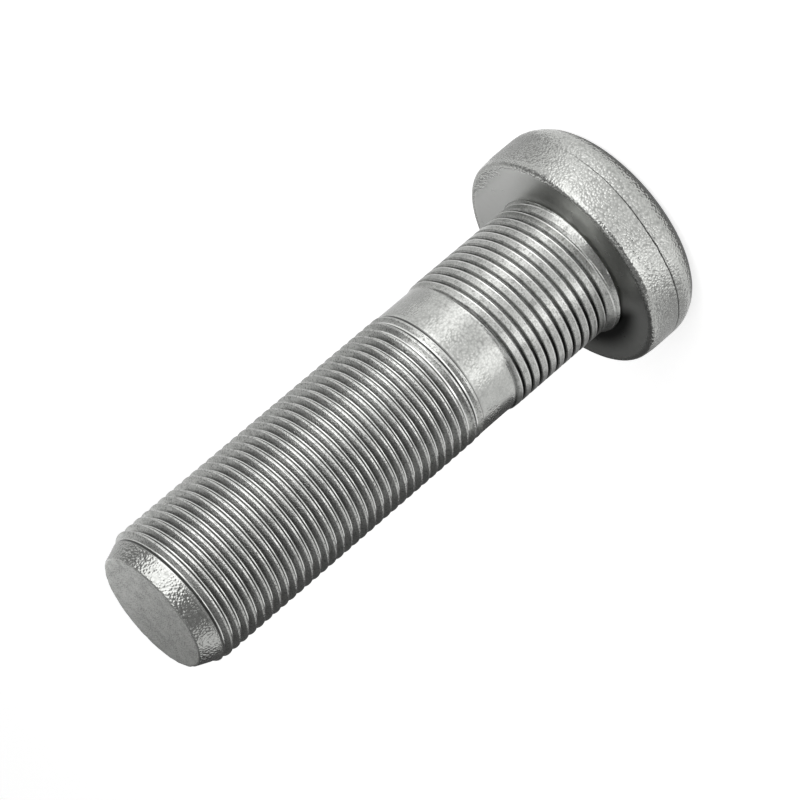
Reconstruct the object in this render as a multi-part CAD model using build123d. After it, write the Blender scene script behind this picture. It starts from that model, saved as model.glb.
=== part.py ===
"""Pressed-in wheel stud: a forged round head, a press shank with rolled ribs and a fastening thread.

The stud stands on its head. The origin is the centre of the head's outer face, and +Z runs along the
stud's axis to its tip. All sizes are in millimetres.
"""

import os

from build123d import *

# Whole stud
overall_length = 90.0

# Forged head
head_diameter = 35.6
head_thickness = 10.2
head_outer_edge_radius = 3.6
head_bearing_edge_chamfer = 0.6

# Neck under the head: a taper from the bearing face down to the ribs' diameter
neck_base_diameter = 23.4
neck_taper_length = 2.2
neck_length = 3.6

# Helical ribs, rolled in several starts, that bite into the hub's hole
rib_diameter = 22.1
rib_length = 16.6
rib_lead = 5.0
rib_starts = 3
groove_depth = 0.45
groove_width = 0.75

# Plain band between the ribs and the thread
band_diameter = 21.5
band_length = 6.6

# Fastening thread, M22 x 1.5, drawn plain at its major diameter
thread_diameter = 21.8
thread_fade_length = 1.5

# Turned point below the thread's crests
tip_diameter = 18.4
tip_cone_length = 3.0
tip_cone_base_diameter = 20.9
tip_edge_chamfer = 0.5
thread_end_chamfer_length = 0.45

# Places worked out from the sizes
head_radius = head_diameter / 2
neck_base_radius = neck_base_diameter / 2
rib_radius = rib_diameter / 2
band_radius = band_diameter / 2
thread_radius = thread_diameter / 2
tip_radius = tip_diameter / 2
rib_bottom = head_thickness + neck_length
rib_top = rib_bottom + rib_length
band_top = rib_top + band_length
cone_bottom = overall_length - tip_cone_length


def turned(points, roundings=(), bevels=()):
    """A turned solid from its half section's corners, as radius and height, some rounded or bevelled."""
    section = make_face(Polyline(*points, close=True))
    for place, radius in roundings:
        section = fillet(section.vertices().sort_by_distance(place)[0], radius)
    for place, leg in bevels:
        section = chamfer(section.vertices().sort_by_distance(place)[0], leg)
    return revolve(Plane.XZ * section, Axis.Z)


def head_and_neck():
    """The forged head and the tapered neck that stands on its bearing face."""
    points = [
        (0, 0),
        (head_radius, 0),
        (head_radius, head_thickness),
        (neck_base_radius, head_thickness),
        (rib_radius, head_thickness + neck_taper_length),
        (rib_radius, rib_bottom),
        (0, rib_bottom),
    ]
    roundings = [((head_radius, 0), head_outer_edge_radius)]
    bevels = [((head_radius, head_thickness), head_bearing_edge_chamfer)]
    return turned(points, roundings, bevels)


def rib_walls():
    """The helical walls of one start: groove flank, crest and flank, cut level at both ends."""
    pitch = rib_lead / rib_starts
    floor_radius = rib_radius - groove_depth
    overrun = 2 * pitch
    rails = [
        (floor_radius, 0),
        (rib_radius, groove_width / 2),
        (rib_radius, pitch - groove_width / 2),
        (floor_radius, pitch),
    ]
    helices = [
        Helix(
            pitch=rib_lead,
            height=rib_length + 2 * overrun,
            radius=radius,
            center=(0, 0, rib_bottom - overrun + rise),
        ).edge()
        for radius, rise in rails
    ]
    walls = []
    for lower, upper in zip(helices, helices[1:]):
        wall = Face.make_surface_from_curves(lower, upper)
        wall = split(wall, bisect_by=Plane((0, 0, rib_bottom)), keep=Keep.TOP)
        wall = split(wall, bisect_by=Plane((0, 0, rib_top)), keep=Keep.BOTTOM)
        walls += wall.faces()
    return walls


def level_rim(walls, height):
    """The closed outline that the walls leave at one height."""
    tolerance = 1e-4
    edges = [edge for wall in walls for edge in wall.edges()]
    rim = [edge for edge in edges if all(abs(v.Z - height) < tolerance for v in edge.vertices())]
    return Wire.combine(rim, tol=tolerance)[0]


def ribbed_shank():
    """The ribbed length of the shank: the walls of all starts, closed by a level face at each end."""
    one_start = rib_walls()
    turns = [Rot(0, 0, 360 * start / rib_starts) for start in range(rib_starts)]
    walls = [turn * wall for turn in turns for wall in one_start]
    ends = [Face(level_rim(walls, height)) for height in (rib_bottom, rib_top)]
    return Solid(Shell(walls + ends))


def band_thread_and_tip():
    """The plain band, the thread at its major diameter and the turned point."""
    points = [
        (0, rib_top),
        (band_radius, rib_top),
        (band_radius, band_top),
        (thread_radius, band_top + thread_fade_length),
        (thread_radius, cone_bottom - thread_end_chamfer_length),
        (tip_cone_base_diameter / 2, cone_bottom),
        (tip_radius, overall_length),
        (0, overall_length),
    ]
    return turned(points, bevels=[((tip_radius, overall_length), tip_edge_chamfer)])


def wheel_stud():
    """The whole stud, one forged piece."""
    stud = head_and_neck() + ribbed_shank() + band_thread_and_tip()
    stud.label = "wheel_stud"
    return stud


os.makedirs("parts", exist_ok=True)
export_step(wheel_stud(), "parts/wheel_stud.step")
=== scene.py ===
import math

import bpy
from mathutils import Matrix, Vector, noise


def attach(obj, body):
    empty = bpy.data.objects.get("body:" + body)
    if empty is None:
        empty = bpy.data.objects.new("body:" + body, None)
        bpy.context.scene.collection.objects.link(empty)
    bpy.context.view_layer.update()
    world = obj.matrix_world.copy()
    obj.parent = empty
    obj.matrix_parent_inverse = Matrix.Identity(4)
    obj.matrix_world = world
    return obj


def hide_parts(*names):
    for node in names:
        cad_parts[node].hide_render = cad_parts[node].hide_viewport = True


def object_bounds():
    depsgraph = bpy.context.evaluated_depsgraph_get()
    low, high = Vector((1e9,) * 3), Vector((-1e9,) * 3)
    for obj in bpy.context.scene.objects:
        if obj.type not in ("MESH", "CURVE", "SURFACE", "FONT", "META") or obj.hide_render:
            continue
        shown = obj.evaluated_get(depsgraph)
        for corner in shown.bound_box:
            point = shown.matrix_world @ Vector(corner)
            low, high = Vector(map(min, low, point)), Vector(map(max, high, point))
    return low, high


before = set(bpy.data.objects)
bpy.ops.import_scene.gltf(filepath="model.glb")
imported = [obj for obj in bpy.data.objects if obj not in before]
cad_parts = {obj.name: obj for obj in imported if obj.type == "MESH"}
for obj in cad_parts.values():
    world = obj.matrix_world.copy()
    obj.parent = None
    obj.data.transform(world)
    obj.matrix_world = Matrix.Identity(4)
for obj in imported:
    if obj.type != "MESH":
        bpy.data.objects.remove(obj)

cad_low, cad_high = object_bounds()

# Forged head and neck. The head is upset hot from the bar between two dies, which leaves round edges, a
# pebbled skin and a wandering seam round the rim. Its inner face is turned flat to bear on the hub, and
# the tool leaves a narrow relief under the ragged foot of the tapered neck. The face is a little out of
# square and the foot a little off centre.
mm = 0.001
near = 0.001 * mm
close = 0.01 * mm
columns = 120
arc_steps = 8
flat_cuts = 5
head_radius = -cad_low.x
head_thickness = 10.7 * mm
face_tilt = 0.25 * mm
face_turn = math.radians(-40)
outer_edge_radius = 4.1 * mm
crown_radius = 22.0 * mm
crown_sweep = 7.0
bearing_edge_radius = 0.8 * mm
seam_height = 5.3 * mm
seam_width = 0.32 * mm
seam_depth = 0.14 * mm
seam_wander = 0.28 * mm
seam_ragged_size = 1.2 * mm
seam_turn = math.radians(-165)
relief_radius = 11.25 * mm
relief_top = 10.95 * mm
neck_foot_radius = 11.5 * mm
neck_foot_drift = 0.35 * mm
neck_foot_turn = math.radians(165)
neck_foot_ragged = 0.07 * mm
neck_ragged_size = 0.8 * mm
neck_start = 11.05 * mm
neck_top = 12.1 * mm
rib_radius = 11.05 * mm


def arc(centre, radius, start, end):
    """Points of a section along an arc between two angles from the level, in degrees."""
    angles = [math.radians(start + (end - start) * step / arc_steps) for step in range(arc_steps + 1)]
    return [(centre[0] + radius * math.cos(a), centre[1] + radius * math.sin(a)) for a in angles]


def ramp(height, low, high, low_value, high_value):
    """A value that runs evenly from one height to another and stays level outside them."""
    share = min(max((height - low) / (high - low), 0.0), 1.0)
    return low_value + (high_value - low_value) * share


def neck_radius(height):
    """The neck's taper, from its foot to the ribs."""
    return ramp(height, relief_top, neck_top, neck_foot_radius, rib_radius)


def draw_section(name, points):
    """A half section in the XZ plane, drawn from one vertex that is extruded from point to point."""
    bpy.ops.object.select_all(action="DESELECT")
    bpy.ops.mesh.primitive_plane_add(size=mm)
    section = bpy.context.object
    section.name = name
    bpy.ops.object.mode_set(mode="EDIT")
    bpy.ops.mesh.select_mode(type="VERT")
    bpy.ops.mesh.merge(type="CENTER")
    bpy.ops.transform.translate(value=(points[0][0], 0, points[0][1]))
    for (radius, height), (next_radius, next_height) in zip(points, points[1:]):
        step = (next_radius - radius, 0, next_height - height)
        bpy.ops.mesh.extrude_region_move(TRANSFORM_OT_translate={"value": step})
    bpy.ops.object.mode_set(mode="OBJECT")
    return section


def select_vertices(piece, wanted):
    """Selects the vertices for which wanted(radius, height) is true, and enters edit mode."""
    bpy.ops.object.mode_set(mode="EDIT")
    bpy.ops.mesh.select_mode(type="VERT")
    bpy.ops.mesh.select_all(action="DESELECT")
    bpy.ops.object.mode_set(mode="OBJECT")
    for vertex in piece.data.vertices:
        vertex.select = wanted(math.hypot(vertex.co.x, vertex.co.y), vertex.co.z)
    bpy.ops.object.mode_set(mode="EDIT")


def split_run(section, low, high, cuts):
    """Divides the straight run of a section that lies between two corners."""
    select_vertices(
        section,
        lambda r, z: low[0] - near < r < high[0] + near and low[1] - near < z < high[1] + near,
    )
    bpy.ops.mesh.subdivide(number_cuts=cuts)
    bpy.ops.object.mode_set(mode="OBJECT")


def sweep_round(section, rise=0.0, turns=1):
    """Sweeps a section round the axis, level or with a rise for each turn, into a closed wall."""
    screw = section.modifiers.new("swept", "SCREW")
    screw.axis = "Z"
    screw.angle = math.tau
    screw.screw_offset = rise
    screw.iterations = turns
    screw.steps = columns
    screw.render_steps = columns
    bpy.ops.object.modifier_apply(modifier=screw.name)
    bpy.ops.object.mode_set(mode="EDIT")
    bpy.ops.mesh.select_all(action="SELECT")
    bpy.ops.mesh.remove_doubles(threshold=near)
    bpy.ops.object.mode_set(mode="OBJECT")


outer_edge = arc((head_radius - outer_edge_radius, outer_edge_radius), outer_edge_radius, -90, 0)
crown_end = math.sin(math.radians(crown_sweep))
crown_bottom = head_thickness - bearing_edge_radius * (1 - crown_end) - crown_radius * crown_end
crown = arc((head_radius - crown_radius, crown_bottom), crown_radius, 0, crown_sweep)
edge_centre_radius = crown[-1][0] - bearing_edge_radius * math.cos(math.radians(crown_sweep))
edge_centre = (edge_centre_radius, head_thickness - bearing_edge_radius)
bearing_edge = arc(edge_centre, bearing_edge_radius, crown_sweep, 90)
head = draw_section(
    "wheel_stud_head",
    [(0, 0)]
    + outer_edge
    + [
        (head_radius, seam_height - seam_width / 2),
        (head_radius - seam_depth, seam_height),
        (head_radius, seam_height + seam_width / 2),
    ]
    + crown
    + bearing_edge
    + [
        (relief_radius, head_thickness),
        (relief_radius, relief_top),
        (neck_foot_radius, relief_top),
        (neck_radius(neck_start), neck_start),
    ],
)
split_run(head, (0, 0), outer_edge[0], flat_cuts)
split_run(head, (relief_radius, head_thickness), (edge_centre_radius, head_thickness), flat_cuts)
sweep_round(head)

for vertex in head.data.vertices:
    turn = math.atan2(vertex.co.y, vertex.co.x)
    radius = vertex.co.xy.length
    if vertex.co.z < head_thickness + close:
        tilt = face_tilt * math.cos(turn - face_turn) * radius / head_radius
        vertex.co.z += ramp(vertex.co.z, seam_height, head_thickness, 0, tilt)
    if abs(vertex.co.z - seam_height) < seam_width and radius > head_radius - 2 * seam_depth:
        shut = 1 - (0.5 + 0.5 * math.cos(turn - seam_turn)) ** 2
        share = 1 + shut * (head_radius - radius) / radius
        waves = 0.6 * math.sin(2 * turn + 0.4) + 0.3 * math.sin(5 * turn + 2.0)
        ragged = 0.4 * noise.noise(Vector((vertex.co.x, vertex.co.y, 0)) / seam_ragged_size)
        rise = seam_wander * (waves + ragged)
        vertex.co = (vertex.co.x * share, vertex.co.y * share, vertex.co.z + rise)

# Press shank with helical ribs. Three ribs are rolled side by side into the shank, with wide flat
# crests and narrow grooves, and they bite into the hub's hole when the stud is pressed home.
rib_lead = 5.0 * mm
rib_starts = 3
rib_pitch = rib_lead / rib_starts
rib_groove_height = 10.467 * mm
groove_depth = 0.45 * mm
groove_mouth = 0.66 * mm
groove_floor = 0.22 * mm
rib_edge_radius = 0.05 * mm
rib_edge_steps = 2
band_radius = 10.75 * mm
groove_fade_top = 11.9 * mm
groove_fade_lag = 1.3 * mm
rib_fall_bottom = 30.2 * mm
rib_top = 31.2 * mm


def round_corner(section, corner, radius, segments):
    """Rounds one corner of a section."""
    select_vertices(section, lambda r, z: abs(r - corner[0]) < near and abs(z - corner[1]) < near)
    bpy.ops.mesh.bevel(offset=radius, segments=segments, profile=0.5, affect="VERTICES")
    bpy.ops.object.mode_set(mode="OBJECT")


def turn_down(piece, radius_at):
    """Moves each vertex in or out to radius_at(radius, height, turn)."""
    for vertex in piece.data.vertices:
        radius = vertex.co.xy.length
        share = radius_at(radius, vertex.co.z, math.atan2(vertex.co.y, vertex.co.x)) / radius
        vertex.co.x *= share
        vertex.co.y *= share


def level_ends(piece, bottom, top):
    """Presses what lies past two heights flat onto them, so that the wall ends in two level rings."""
    for height, past in ((bottom, lambda r, z: z < bottom), (top, lambda r, z: z > top)):
        select_vertices(piece, past)
        bpy.ops.transform.resize(value=(1, 1, 0), center_override=(0, 0, height))
        bpy.ops.object.mode_set(mode="OBJECT")
    bpy.ops.object.mode_set(mode="EDIT")
    bpy.ops.mesh.select_all(action="SELECT")
    bpy.ops.mesh.remove_doubles(threshold=2 * near)
    bpy.ops.object.mode_set(mode="OBJECT")


rib_floor_radius = rib_radius - groove_depth
rib_start = rib_groove_height - rib_lead
rib_points = []
for start in range(rib_starts):
    groove = rib_start + start * rib_pitch
    rib_points += [
        (rib_floor_radius, groove),
        (rib_floor_radius, groove + groove_floor / 2),
        (rib_radius, groove + groove_mouth / 2),
        (rib_radius, groove + rib_pitch - groove_mouth / 2),
        (rib_floor_radius, groove + rib_pitch - groove_floor / 2),
    ]
rib_points.append((rib_floor_radius, rib_start + rib_lead))
ribs = draw_section("wheel_stud_ribs", rib_points)
for start in range(rib_starts):
    for radius, height in rib_points[5 * start + 1:5 * start + 5]:
        round_corner(ribs, (radius, height), rib_edge_radius, rib_edge_steps)
sweep_round(ribs, rib_lead, math.ceil((rib_top - rib_start) / rib_lead))


def rib_radius_at(radius, height, turn):
    """The grooves deepen on the neck, later on its thick side, and run out on the band with the ribs."""
    lag = groove_fade_lag * (0.5 + 0.5 * math.cos(turn - neck_foot_turn))
    deepest = ramp(height, neck_start + lag, groove_fade_top + lag, 0, groove_depth)
    depth = min(rib_radius - radius, deepest)
    neck = neck_radius(max(height, neck_start))
    floor = ramp(height, rib_fall_bottom, rib_top, rib_floor_radius, band_radius)
    crest = ramp(height, rib_fall_bottom, rib_top, neck, band_radius)
    return min(max(neck - depth, floor), crest)


turn_down(ribs, rib_radius_at)
level_ends(ribs, neck_start, rib_top)

# Plain band between the ribs and the thread, left as forged, under the same coat.
band_top = 37.0 * mm
band_cuts = 7
band = draw_section("wheel_stud_band", [(band_radius, rib_top), (band_radius, band_top)])
split_run(band, (band_radius, rib_top), (band_radius, band_top), band_cuts)
sweep_round(band)

# Fastening thread, M22 x 1.5, rolled between dies, so its crests are rough and its roots are smooth.
# It runs out over the last turns before the band, and the cone of the point cuts its first turn.
thread_radius = 10.9 * mm
thread_pitch = 1.5 * mm
thread_depth = 0.76 * mm
thread_crest_width = 0.30 * mm
thread_root_width = 0.18 * mm
thread_edge_radius = 0.06 * mm
thread_edge_steps = 2
thread_root_height = 34.591 * mm
thread_rise_top = 38.5 * mm
thread_runout_top = 40.6 * mm
stud_length = cad_high.z
cone_bottom = 87.0 * mm
cone_bottom_radius = 10.45 * mm
thread_end_chamfer = 0.45 * mm
tip_radius = 9.2 * mm
thread_top = 88.5 * mm

thread_root_radius = thread_radius - thread_depth
thread_points = [
    (thread_root_radius, thread_root_height),
    (thread_root_radius, thread_root_height + thread_root_width / 2),
    (thread_radius, thread_root_height + thread_pitch / 2 - thread_crest_width / 2),
    (thread_radius, thread_root_height + thread_pitch / 2 + thread_crest_width / 2),
    (thread_root_radius, thread_root_height + thread_pitch - thread_root_width / 2),
    (thread_root_radius, thread_root_height + thread_pitch),
]
thread = draw_section("wheel_stud_thread", thread_points)
for radius, height in thread_points[1:5]:
    round_corner(thread, (radius, height), thread_edge_radius, thread_edge_steps)
sweep_round(thread, thread_pitch, math.ceil((thread_top - thread_root_height) / thread_pitch))


def cone_radius(height):
    """The point's cone, from the end of the thread to the tip."""
    return ramp(height, cone_bottom, stud_length, cone_bottom_radius, tip_radius)


def thread_radius_at(radius, height, turn):
    """The thread's roots come up to the band at its run-out, and the cone cuts its crests at the point."""
    floor = ramp(height, band_top, thread_runout_top, band_radius, thread_root_radius)
    crest = ramp(height, band_top, thread_rise_top, band_radius, thread_radius)
    end = ramp(height, cone_bottom - thread_end_chamfer, cone_bottom, thread_radius, cone_bottom_radius)
    if height > cone_bottom:
        end = cone_radius(min(height, thread_top))
    return min(max(radius, floor), crest, end)


turn_down(thread, thread_radius_at)
level_ends(thread, band_top, thread_top)

# Point. It is turned to a cone before the thread is rolled, and its face is left sawn and matte.
tip_edge_radius = 0.3 * mm
tip_edge_steps = 3
tip_edge_ragged = 0.14 * mm
tip_ragged_size = 0.9 * mm
tip_cuts = 7
tip = draw_section(
    "wheel_stud_tip",
    [
        (cone_radius(thread_top), thread_top),
        (tip_radius, stud_length),
        (0, stud_length),
    ],
)
round_corner(tip, (tip_radius, stud_length), tip_edge_radius, tip_edge_steps)
split_run(tip, (0, stud_length), (tip_radius - tip_edge_radius, stud_length), tip_cuts)
sweep_round(tip)
for vertex in tip.data.vertices:
    on_edge = vertex.co.xy.length > tip_radius - 1.5 * tip_edge_radius
    if on_edge and vertex.co.z > stud_length - tip_edge_radius:
        share = 1 + tip_edge_ragged * noise.noise(vertex.co / tip_ragged_size) / tip_radius
        vertex.co = (vertex.co.x * share, vertex.co.y * share, vertex.co.z)

# The stud in one piece. The lengths are joined at their rings, the forged skin gets its shallow dents,
# and the broad faces keep their own direction, so that only the edges between them look round.
dent_depth = 0.025 * mm
dent_size = 2.2 * mm
smooth_angle = math.radians(50)

bpy.ops.object.select_all(action="DESELECT")
for length in (head, ribs, band, thread, tip):
    length.select_set(True)
bpy.context.view_layer.objects.active = head
bpy.ops.object.join()
stud = bpy.context.object
stud.name = "wheel_stud_forging"
bpy.ops.object.mode_set(mode="EDIT")
bpy.ops.mesh.select_all(action="SELECT")
bpy.ops.mesh.remove_doubles(threshold=5 * near)
bpy.ops.mesh.normals_make_consistent(inside=False)
bpy.ops.object.mode_set(mode="OBJECT")

for vertex in stud.data.vertices:
    radius = vertex.co.xy.length
    foot_bottom = relief_top - close if radius > relief_radius + close else relief_top + close
    if radius < neck_foot_radius + close and foot_bottom < vertex.co.z < neck_top:
        turn = math.atan2(vertex.co.y, vertex.co.x)
        drift = neck_foot_drift * math.cos(turn - neck_foot_turn)
        drift = ramp(vertex.co.z, relief_top, neck_top, drift, 0)
        ragged = neck_foot_ragged * noise.noise(vertex.co / neck_ragged_size)
        ragged = ramp(vertex.co.z, relief_top, neck_start, ragged, 0)
        share = (radius + drift + ragged) / radius
        vertex.co = (vertex.co.x * share, vertex.co.y * share, vertex.co.z + ragged)

forged = stud.vertex_groups.new(name="forged")
for vertex in stud.data.vertices:
    rim = vertex.co.z < head_thickness - 0.1 * mm and vertex.co.xy.length > edge_centre_radius
    if rim or rib_top < vertex.co.z < band_top:
        forged.add([vertex.index], 1.0, "REPLACE")
dents = bpy.data.textures.new("dents", "CLOUDS")
dents.noise_scale = dent_size
dents.noise_depth = 1
relief = stud.modifiers.new("dents", "DISPLACE")
relief.texture = dents
relief.texture_coords = "LOCAL"
relief.vertex_group = forged.name
relief.strength = dent_depth
relief.mid_level = 1.0
bpy.ops.object.modifier_apply(modifier=relief.name)
stud.vertex_groups.clear()

bpy.ops.object.shade_smooth_by_angle(angle=smooth_angle)
even = stud.modifiers.new("broad_faces", "WEIGHTED_NORMAL")
even.keep_sharp = True
bpy.ops.object.modifier_apply(modifier=even.name)

# Zinc-flake coat. The stud is dipped and spun, and the thin grey metallic film shows the steel under it:
# pebbled on the forged skin, smooth on turned and rolled faces, and rubbed lighter on the crests. Painted
# highlights lighten the crests toward the front, the roots, the rib edges and one side of the bearing face;
# painted shade darkens the narrow grooves, the head-facing flanks, one side of the ribs and the neck's
# foot.
coat_colour = (0.44, 0.445, 0.43, 1)
coat_dark = (0.25, 0.254, 0.244, 1)
# Lighter coat for rubbed crests and for painted highlights.
wear_and_highlight_colour = (0.68, 0.685, 0.67, 1)
# Near-black for dark marks and for painted shade.
residue_and_shade_colour = (0.003, 0.0035, 0.003, 1)
pebble_size = 0.35
pebble_depth = 0.13
mark_size = 0.22
mark_depth = 0.035
scuff_turn = math.radians(-85)
front_turn = math.radians(-124)
sheen_and_shade_turn = math.radians(-25)
painted_neck_shade_turn = math.radians(120)


class Shade:
    """A socket of a material, whose operators add Math nodes."""

    def __init__(self, tree, socket=None):
        self.tree = tree
        self.socket = socket

    def node(self, kind, settings, sockets, output=0):
        """Any node: its settings are set first, then the values or links of its sockets."""
        new = self.tree.nodes.new(kind)
        for name, value in settings.items():
            setattr(new, name, value)
        for name, value in sockets.items():
            if isinstance(value, Shade):
                self.tree.links.new(value.socket, new.inputs[name])
            else:
                new.inputs[name].default_value = value
        return Shade(self.tree, new.outputs[output])

    def maths(self, operation, *others):
        """A Math node whose first value is this socket."""
        return self.node("ShaderNodeMath", {"operation": operation}, dict(enumerate((self,) + others)))

    def __add__(self, other):
        return self.maths("ADD", other)

    def __radd__(self, other):
        return self.maths("ADD", other)

    def __sub__(self, other):
        return self.maths("SUBTRACT", other)

    def __rsub__(self, other):
        return self.maths("MULTIPLY_ADD", -1.0, other)

    def __mul__(self, other):
        return self.maths("MULTIPLY", other)

    def __pow__(self, other):
        return self.maths("POWER", other)

    def rise(self, low, high):
        """0 below one value, 1 over another, and soft between them."""
        settings = {"interpolation_type": "SMOOTHSTEP"}
        return self.node("ShaderNodeMapRange", settings, {"Value": self, "From Min": low, "From Max": high})

    def between(self, low, high, soft):
        """1 between two values, with soft ends."""
        return self.rise(low - soft, low + soft) - self.rise(high - soft, high + soft)

    def noise(self, size, detail=2.0):
        """Even noise round 0 with features of a given size, where this socket is a place."""
        fine = {"Vector": self, "Scale": 1 / size, "Detail": detail}
        return self.node("ShaderNodeTexNoise", {}, fine) - 0.5

    def mix(self, low, high):
        """One of two colours, or a blend of them, where this socket is the share of the second."""
        return self.node("ShaderNodeMix", {"data_type": "RGBA"}, {0: self, 6: low, 7: high}, 2)


coat = bpy.data.materials.new("zinc_flake_coat")
coat.use_nodes = True
coat_shader = coat.node_tree.nodes["Principled BSDF"]
blank = Shade(coat.node_tree)
place = blank.node("ShaderNodeTexCoord", {}, {}, "Object")
place = place.node("ShaderNodeVectorMath", {"operation": "SCALE"}, {0: place, "Scale": 1 / mm})
across = place.node("ShaderNodeSeparateXYZ", {}, {0: place}, 0)
along = place.node("ShaderNodeSeparateXYZ", {}, {0: place}, 1)
height = place.node("ShaderNodeSeparateXYZ", {}, {0: place}, 2)
radius = (across ** 2 + along ** 2) ** 0.5

turn = along.maths("ARCTAN2", across) * (1 / math.tau)
rib_phase = ((height - rib_groove_height / mm) * (mm / rib_pitch) - turn * rib_starts).maths("FRACT")
thread_phase = ((height - thread_root_height / mm) * (mm / thread_pitch) - turn).maths("FRACT")

turned_face = radius.between(11.2, 16.7, 0.2) * height.between(10.3, 10.92, 0.02)
low_side = (across * math.cos(seam_turn) + along * math.sin(seam_turn)).rise(0.0, 9.0)
seam = height.between(4.6, 6.0, 0.1) * radius.between(17.5, 17.72, 0.04) * low_side
scuffs = height.between(10.4, 10.85, 0.1) * radius.between(16.6, 17.3, 0.1)
scuffs = scuffs * (across * math.cos(scuff_turn) + along * math.sin(scuff_turn)).rise(16.2, 17.0)
on_neck = height.between(10.7, 11.2, 0.2) * (1 - radius.rise(12.4, 12.6))
on_ribs = height.between(11.2, 30.9, 0.3)
# Painted shade in the rib grooves; it reaches higher up their walls on the low side.
grooves = on_ribs * (1 - (radius - low_side * 0.14).rise(10.64, 10.86))
# Side toward the camera and key lamp: painted crest highlights are strongest and painted groove shade
# lightest here.
front = (across * math.cos(front_turn) + along * math.sin(front_turn)).rise(6.5, 10.6)
# One side: the bearing face there is painted lighter, a painted reflection, and the ribs there are painted
# darker, a painted shade.
sheen_and_shade_side = across * math.cos(sheen_and_shade_turn) + along * math.sin(sheen_and_shade_turn)
painted_face_sheen = turned_face * sheen_and_shade_side.rise(7.0, 12.0)
# Painted shade on the bearing face round the neck's foot, on the side away from the painted reflection.
painted_neck_shade = turned_face * (across * math.cos(painted_neck_shade_turn) + along * math.sin(painted_neck_shade_turn)).rise(5.0, 9.5)
painted_neck_shade = painted_neck_shade * (1 - radius.rise(12.5, 17.0) * 0.8)
# A line along each rib's head-side edge, painted lighter as a painted highlight.
rib_edge_highlights = on_ribs * rib_phase.between(0.20, 0.31, 0.02)
on_band = height.between(31.0, 37.4, 0.2)
band_patch = height.between(34.0, 36.8, 0.5)
on_thread = height.between(37.4, 87.4, 0.3)
crests = on_thread * thread_phase.between(0.40, 0.60, 0.02)
folds = on_thread * thread_phase.between(0.49, 0.53, 0.015)
roots = on_thread * (1 - thread_phase.between(0.06, 0.94, 0.02))
# The thread's flanks that face the head are painted near-black, a painted shade.
shaded_flanks = on_thread * thread_phase.between(0.10, 0.38, 0.02)
flanks = on_thread * thread_phase.between(0.60, 0.94, 0.02)
on_cone = height.rise(87.2, 87.6)
tip_face = height.rise(89.85, 89.95)
skin = (1 - turned_face) * (1 - on_ribs) * (1 - on_thread) * (1 - tip_face)

mottle = place.noise(1.6, 3.0)
cells = {0: place, "Scale": 1 / pebble_size, "Smoothness": 0.6}
grain = 0.5 - place.node("ShaderNodeTexVoronoi", {"feature": "SMOOTH_F1"}, cells)
marks = place.noise(mark_size, 1.0)
nicks = place.noise(0.5).rise(0.02, 0.12)
stains = place.noise(1.1).rise(0.04, 0.16)
pebbles = 1 - height.rise(8.8, 9.8) * 0.5 - on_neck * 0.3 - on_band * 0.6
pebbles = pebbles + band_patch * 0.5 + on_cone * 0.2
rolled_marks = on_ribs * 0.8 + crests * 1.6 + flanks * 1.0 + tip_face * 1.2 + turned_face * 0.1
relief_height = (
    grain * skin * pebbles * pebble_depth
    + marks * rolled_marks * mark_depth
    - folds * nicks * 0.03
    + on_ribs * rib_phase.between(0.10, 0.25, 0.05) * 0.05
)
speckle = marks * (on_ribs * 2.5 + flanks * 3.5 + crests * 2.0 + tip_face * 3.0 + turned_face * 0.4)
# Real stains on the ribs and thread, plus painted shade on one side of the ribs.
stain_and_rib_shade = stains * (on_ribs * 0.5 + on_thread * 0.3) + on_ribs * sheen_and_shade_side.rise(4.0, 9.0) * 0.4
# The skin's grain is coloured more strongly toward the front, a painted glint.
coat_shade = 0.30 + mottle * (0.5 + tip_face * 1.5) + speckle + stain_and_rib_shade - grain * skin * (0.6 + front * 0.9)
coat_shade = coat_shade.maths("MAXIMUM", 0.0).maths("MINIMUM", 1.0)
colour = coat_shade.mix(coat_colour, coat_dark)
# Rubbed crests, with a painted highlight toward the front, and painted highlights on the roots, rib edges
# and one side of the bearing face.
wear_and_highlight = crests * (0.45 + marks * 2.5) * (0.25 + front * 0.75)
wear_and_highlight = wear_and_highlight + roots * 0.8 + rib_edge_highlights * 0.9 + painted_face_sheen * 0.6
colour = wear_and_highlight.mix(colour, wear_and_highlight_colour)
specks = marks.rise(0.07, 0.17) * (on_ribs * 0.15 + flanks * 0.35 + crests * 0.25 + tip_face * 0.4)
# Painted shade in the rib grooves, on the head-facing flanks and round the neck's foot, with dark marks in
# folds, nicks, seam, scuffs and specks.
residue_and_shade = grooves * (0.82 + low_side * 0.18 - front * 0.48) + shaded_flanks * 0.88 + folds * nicks * 0.7
residue_and_shade = residue_and_shade + seam * 0.8 + scuffs * nicks * 0.8 + specks + painted_neck_shade
residue_and_shade = residue_and_shade.maths("MINIMUM", 1.0)
colour = residue_and_shade.mix(colour, residue_and_shade_colour)
metallic = 1 - residue_and_shade
roughness = 0.30 + mottle * 0.15 - skin * 0.07 + tip_face * 0.16 - crests * 0.03 - roots * 0.10
bump = place.node("ShaderNodeBump", {}, {"Strength": 1.0, "Distance": mm, "Height": relief_height})

coat_shader.inputs["Specular IOR Level"].default_value = 0.1
for socket, value in (
    ("Base Color", colour),
    ("Metallic", metallic),
    ("Roughness", roughness),
    ("Normal", bump),
):
    coat.node_tree.links.new(value.socket, coat_shader.inputs[socket])
stud.data.materials.clear()
stud.data.materials.append(coat)

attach(stud, "root")
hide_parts("wheel_stud")

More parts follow.
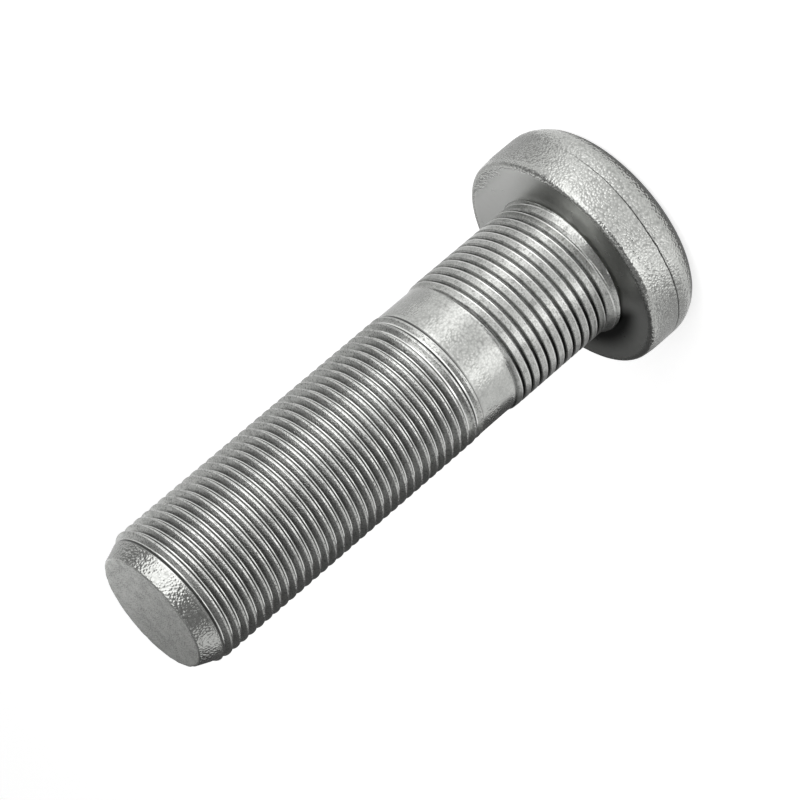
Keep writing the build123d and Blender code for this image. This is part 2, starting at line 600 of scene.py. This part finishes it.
# Floor and studio. White paper lies under the stud, a tall softbox stands beside the camera, two low
# strips lie in front of the stud, and white and dark cards round it shape what its metal reflects.
camera_azimuth = math.radians(-39.8)
studio_centre = Vector((0, 0, 45.0 * mm))
paper_colour = (0.75, 0.75, 0.75, 1)
paper_glow = 0.72
paper_roughness = 0.9
room_brightness = 0.30
floor_size = 6.0
floor_drop = 0.05 * mm
upright = Vector((0, 0, 1))


def studio_place(turn, rise, reach):
    """A point seen from the stud at a turn from the camera's side and a rise over the level."""
    bearing = camera_azimuth - math.pi / 2 + math.radians(turn)
    level = reach * math.cos(math.radians(rise))
    lift = reach * math.sin(math.radians(rise))
    return studio_centre + Vector((level * math.cos(bearing), level * math.sin(bearing), lift))


def facing(place, towards, top):
    """The placing of a lamp or card at one point that faces another, with its height towards top."""
    ahead = (towards - place).normalized()
    across = ahead.cross(top).normalized()
    axes = Matrix((across, across.cross(ahead), -ahead)).transposed()
    return Matrix.Translation(place) @ axes.to_4x4()


def softbox(name, placing, width, height, brightness):
    """A soft lamp of a given brightness, which the camera doesn't see."""
    light = bpy.data.lights.new(name, "AREA")
    light.shape = "RECTANGLE"
    light.size = width
    light.size_y = height
    light.energy = brightness * math.pi * width * height
    lamp = bpy.data.objects.new(name, light)
    bpy.context.scene.collection.objects.link(lamp)
    lamp.matrix_world = placing
    lamp.visible_camera = False


def card(name, placing, width, height, brightness, corners=4):
    """A card, square or round, that only the stud's reflections show."""
    bpy.ops.object.select_all(action="DESELECT")
    if corners == 4:
        bpy.ops.mesh.primitive_plane_add(size=1.0)
    else:
        bpy.ops.mesh.primitive_circle_add(vertices=corners, radius=0.5, fill_type="NGON")
    sheet = bpy.context.object
    sheet.name = name
    sheet.matrix_world = placing @ Matrix.Diagonal((width, height, 1, 1))
    sheet.visible_camera = False
    sheet.visible_diffuse = False
    sheet.visible_shadow = False
    sheet.visible_transmission = False
    board = bpy.data.materials.new(name)
    board.use_nodes = True
    board_shader = board.node_tree.nodes["Principled BSDF"]
    board_shader.inputs["Base Color"].default_value = (0, 0, 0, 1)
    board_shader.inputs["Specular IOR Level"].default_value = 0
    board_shader.inputs["Emission Color"].default_value = (1, 1, 1, 1)
    board_shader.inputs["Emission Strength"].default_value = brightness
    sheet.data.materials.append(board)


bpy.ops.object.select_all(action="DESELECT")
bpy.ops.mesh.primitive_plane_add(size=floor_size, location=(0, 0, -floor_drop))
floor = bpy.context.object
floor.name = "floor"

paper = bpy.data.materials.new("white_paper")
paper.use_nodes = True
paper_shader = paper.node_tree.nodes["Principled BSDF"]
paper_shader.inputs["Base Color"].default_value = paper_colour
paper_shader.inputs["Roughness"].default_value = paper_roughness
paper_shader.inputs["Specular IOR Level"].default_value = 0
paper_shader.inputs["Emission Strength"].default_value = paper_glow
rays = Shade(paper.node_tree)
seen = sum(
    rays.node("ShaderNodeLightPath", {}, {}, kind)
    for kind in ("Is Camera Ray", "Is Glossy Ray", "Is Transmission Ray")
)
paper.node_tree.links.new(seen.maths("MINIMUM", 1.0).socket, paper_shader.inputs["Emission Color"])
floor.data.materials.append(paper)

world = bpy.data.worlds.new("studio")
world.use_nodes = True
bpy.context.scene.world = world
world.node_tree.nodes["Background"].inputs["Color"].default_value = (1, 1, 1, 1)
world.node_tree.nodes["Background"].inputs["Strength"].default_value = room_brightness

key_place = studio_place(35, 30, 0.45)
softbox("key_softbox", facing(key_place, studio_centre, upright), 0.46, 0.56, 2.2)
for name, turn, rise, reach, width, height, brightness in (
    ("white_card_left", 150, 12, 0.30, 0.28, 0.30, 0.80),
    ("white_card_right", -100, 17, 0.30, 0.22, 0.18, 1.1),
    ("white_card_back", 180, 38, 0.15, 0.14, 0.10, 1.45),
    ("left_strip_end", 40, -8.2, 0.263, 0.100, 0.075, 3.1),
    ("right_strip_end", -40, -8.2, 0.263, 0.100, 0.075, 3.1),
    ("white_card_high", 142, 42, 0.30, 0.22, 0.13, 1.0),
    ("white_card_side", 95, 6, 0.35, 0.30, 0.12, 1.0),
    ("front_card", 0, -6, 0.263, 0.24, 0.05, 2.1),
    ("dark_card_right", -150, 11, 0.065, 0.085, 0.14, 0.10),
):
    sheet_place = studio_place(turn, rise, reach)
    level_aim = Vector((0, 0, sheet_place.z))
    card(name, facing(sheet_place, level_aim, upright), width, height, brightness)
for name, turn, reach, width, length, brightness in (
    ("left_strip_inner", 40, 0.027, 0.011, 0.013, 1.5),
    ("left_strip_near", 40, 0.053, 0.017, 0.039, 2.5),
    ("left_strip_far", 40, 0.160, 0.062, 0.180, 2.0),
    ("right_strip_inner", -40, 0.027, 0.011, 0.013, 1.5),
    ("right_strip_near", -40, 0.053, 0.017, 0.039, 2.5),
    ("right_strip_far", -40, 0.160, 0.062, 0.180, 2.0),
    ("dark_strip_right", -150, 0.046, 0.050, 0.052, 0.35),
    ("grey_patch_left", 96, 0.030, 0.030, 0.022, 0.70),
    ("grey_patch_right", -88, 0.030, 0.030, 0.022, 0.60),
    ("grey_strip_left", 142, 0.130, 0.150, 0.160, 0.88),
):
    strip = studio_place(turn, 0, reach)
    outward = (strip - studio_centre).normalized()
    strip.z = 0.5 * mm
    card(name, facing(strip, strip + upright, outward), width, length, brightness)
top_place = studio_place(10, 62, 0.35)
card("white_card_top", facing(top_place, studio_centre, upright), 0.30, 0.14, 1.2)
over_place = studio_place(180, 80, 0.40)
card("grey_card_over", facing(over_place, studio_centre, upright), 0.40, 0.20, 0.42)
# A dark disc under the head's edge, seen only in reflections, is a painted contact shadow on the paper.
disc_place = studio_place(-40, 0, 0.001)
disc_place.z = -0.02 * mm
card("contact_shadow_disc", Matrix.Translation(disc_place), 0.0336, 0.0336, 0.30, 64)

# Camera. It stands where the picture was taken, turned on its side so that the tip points down left.
camera_elevation = math.radians(21.98)
camera_roll = math.radians(-130.54)
camera_distance = 509.4 * mm
camera_aim_height = 44.59 * mm
camera_aim_right = 0.089 * mm
camera_aim_up = -1.675 * mm
sensor_width = 36.0
focal_pixels = 3690.0
picture_width = 800

away = Matrix.Rotation(camera_azimuth, 3, "Z") @ Vector(
    (0, -math.cos(camera_elevation), math.sin(camera_elevation))
)
side = Matrix.Rotation(camera_azimuth, 3, "Z") @ Vector((1, 0, 0))
over = away.cross(side)
pivot = Vector((0, 0, camera_aim_height))
stand = pivot + camera_distance * away
back = (stand - pivot - camera_aim_right * side - camera_aim_up * over).normalized()
level_right = over.cross(back).normalized()
level_up = back.cross(level_right)
right = math.cos(camera_roll) * level_right + math.sin(camera_roll) * level_up
up = math.cos(camera_roll) * level_up - math.sin(camera_roll) * level_right

camera_data = bpy.data.cameras.new("camera")
camera_data.sensor_width = sensor_width
camera_data.lens = focal_pixels / picture_width * sensor_width
camera_data.clip_start = 0.01
camera_data.clip_end = 20.0
camera = bpy.data.objects.new("camera", camera_data)
bpy.context.scene.collection.objects.link(camera)
camera.matrix_world = Matrix.Translation(stand) @ Matrix((right, up, back)).transposed().to_4x4()
bpy.context.scene.camera = camera
bpy.context.scene.view_settings.view_transform = "Standard"
